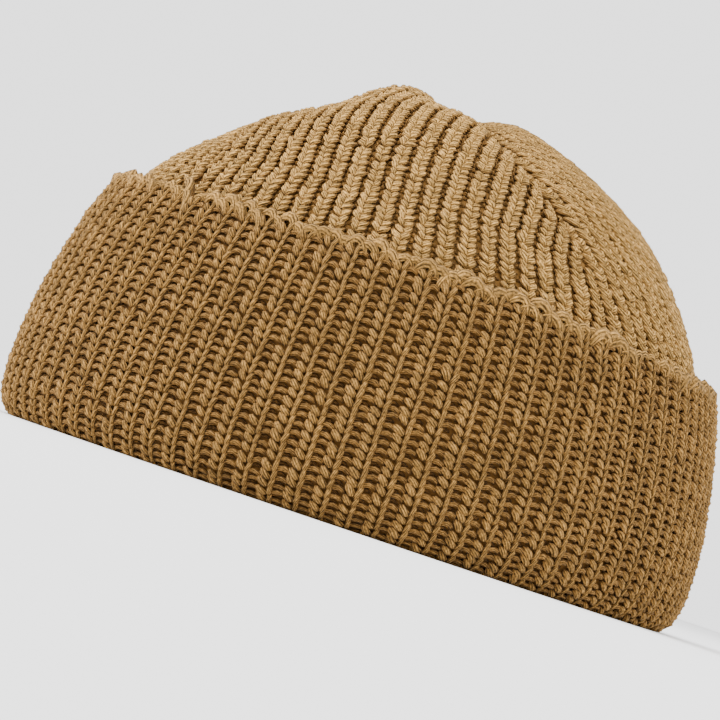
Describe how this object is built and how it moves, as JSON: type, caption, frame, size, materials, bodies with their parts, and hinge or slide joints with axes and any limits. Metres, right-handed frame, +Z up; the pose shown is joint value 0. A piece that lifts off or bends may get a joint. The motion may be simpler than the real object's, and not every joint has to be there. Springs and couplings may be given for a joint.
{
  "type": "fisherman beanie",
  "caption": "Ribbed knit cap with a round crown shaped by darts and a deep turned-up cuff, standing open on its rim.",
  "frame": {"origin": "centre of the rim, on the plane that the rim rests on", "axes": "+Z up from the rim to the top of the crown, -Y towards the front gore of the crown"},
  "size_m": [0.2069, 0.2116, 0.1271],
  "materials": {
    "crown_knit": "matt ribbed knit, tan",
    "cuff_knit": "matt chunky rib, tan with dark holes"
  },
  "bodies": {
    "root": {"crown": "crown_knit", "cuff": "cuff_knit"}
  },
  "joints": []
}
